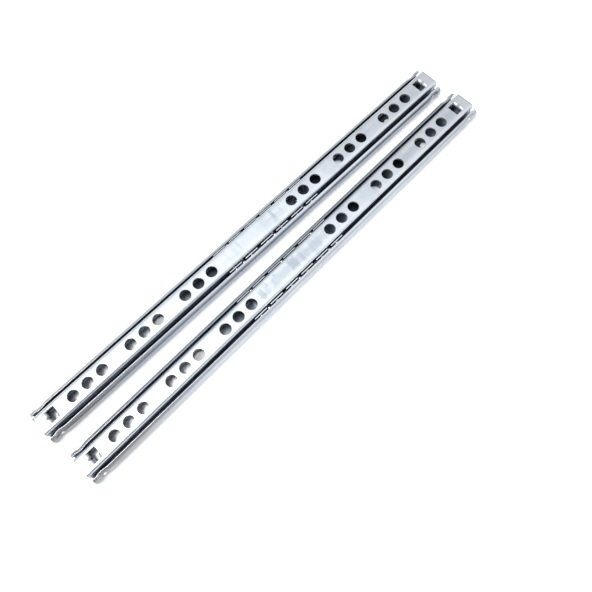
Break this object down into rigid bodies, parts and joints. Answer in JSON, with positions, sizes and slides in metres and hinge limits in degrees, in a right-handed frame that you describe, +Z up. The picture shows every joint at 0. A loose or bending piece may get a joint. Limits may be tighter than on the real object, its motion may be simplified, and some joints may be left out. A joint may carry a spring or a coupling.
{
  "type": "pair of telescopic slide rails",
  "caption": "Pair of slim telescopic ball slides: each an outer and an inner channel of plated steel with a ball cage running between them.",
  "frame": {"origin": "centre of the pair's outline on the surface it lies on", "axes": "+X along the first slide, +Y from the second slide towards the first, +Z up, out of the inner webs"},
  "size_m": [0.2502, 0.0428, 0.008],
  "materials": {
    "outer_zinc": "bright zinc plate, rolled",
    "inner_zinc": "bright zinc plate, rolled",
    "cage_steel": "thin plated strip",
    "ball_steel": "polished hardened steel"
  },
  "bodies": {
    "outer_rails": {"first_outer_rail": "outer_zinc", "second_outer_rail": "outer_zinc"},
    "first_cage": {"first_ball_cage": "cage_steel", "first_near_ball_1": "ball_steel", "first_near_ball_2": "ball_steel", "first_near_ball_3": "ball_steel", "first_near_ball_4": "ball_steel", "first_near_ball_5": "ball_steel", "first_near_ball_6": "ball_steel", "first_near_ball_7": "ball_steel", "first_near_ball_8": "ball_steel", "first_near_ball_9": "ball_steel", "first_far_ball_1": "ball_steel", "first_far_ball_2": "ball_steel", "first_far_ball_3": "ball_steel", "first_far_ball_4": "ball_steel", "first_far_ball_5": "ball_steel", "first_far_ball_6": "ball_steel", "first_far_ball_7": "ball_steel", "first_far_ball_8": "ball_steel", "first_far_ball_9": "ball_steel"},
    "first_inner": {"first_inner_rail": "inner_zinc"},
    "second_cage": {"second_ball_cage": "cage_steel", "second_near_ball_1": "ball_steel", "second_near_ball_2": "ball_steel", "second_near_ball_3": "ball_steel", "second_near_ball_4": "ball_steel", "second_near_ball_5": "ball_steel", "second_near_ball_6": "ball_steel", "second_near_ball_7": "ball_steel", "second_near_ball_8": "ball_steel", "second_near_ball_9": "ball_steel", "second_far_ball_1": "ball_steel", "second_far_ball_2": "ball_steel", "second_far_ball_3": "ball_steel", "second_far_ball_4": "ball_steel", "second_far_ball_5": "ball_steel", "second_far_ball_6": "ball_steel", "second_far_ball_7": "ball_steel", "second_far_ball_8": "ball_steel", "second_far_ball_9": "ball_steel"},
    "second_inner": {"second_inner_rail": "inner_zinc"}
  },
  "joints": [
    {"name": "first_inner_slide", "type": "slide", "parent": "outer_rails", "child": "first_inner", "axis": [1, 0, 0], "range_m": [-0.1727, 0.1573]},
    {"name": "first_cage_slide", "type": "slide", "parent": "outer_rails", "child": "first_cage", "axis": [1, 0, 0], "range_m": [-0.08635, 0.07865]},
    {"name": "second_inner_slide", "type": "slide", "parent": "outer_rails", "child": "second_inner", "axis": [0.9999, 0.0164, 0], "range_m": [-0.1733, 0.1761]},
    {"name": "second_cage_slide", "type": "slide", "parent": "outer_rails", "child": "second_cage", "axis": [0.9999, 0.0164, 0], "range_m": [-0.08665, 0.08805]}
  ],
  "couplings": [
    {"joint": "first_cage_slide", "follows": "first_inner_slide", "ratio": 0.5},
    {"joint": "second_cage_slide", "follows": "second_inner_slide", "ratio": 0.5}
  ]
}
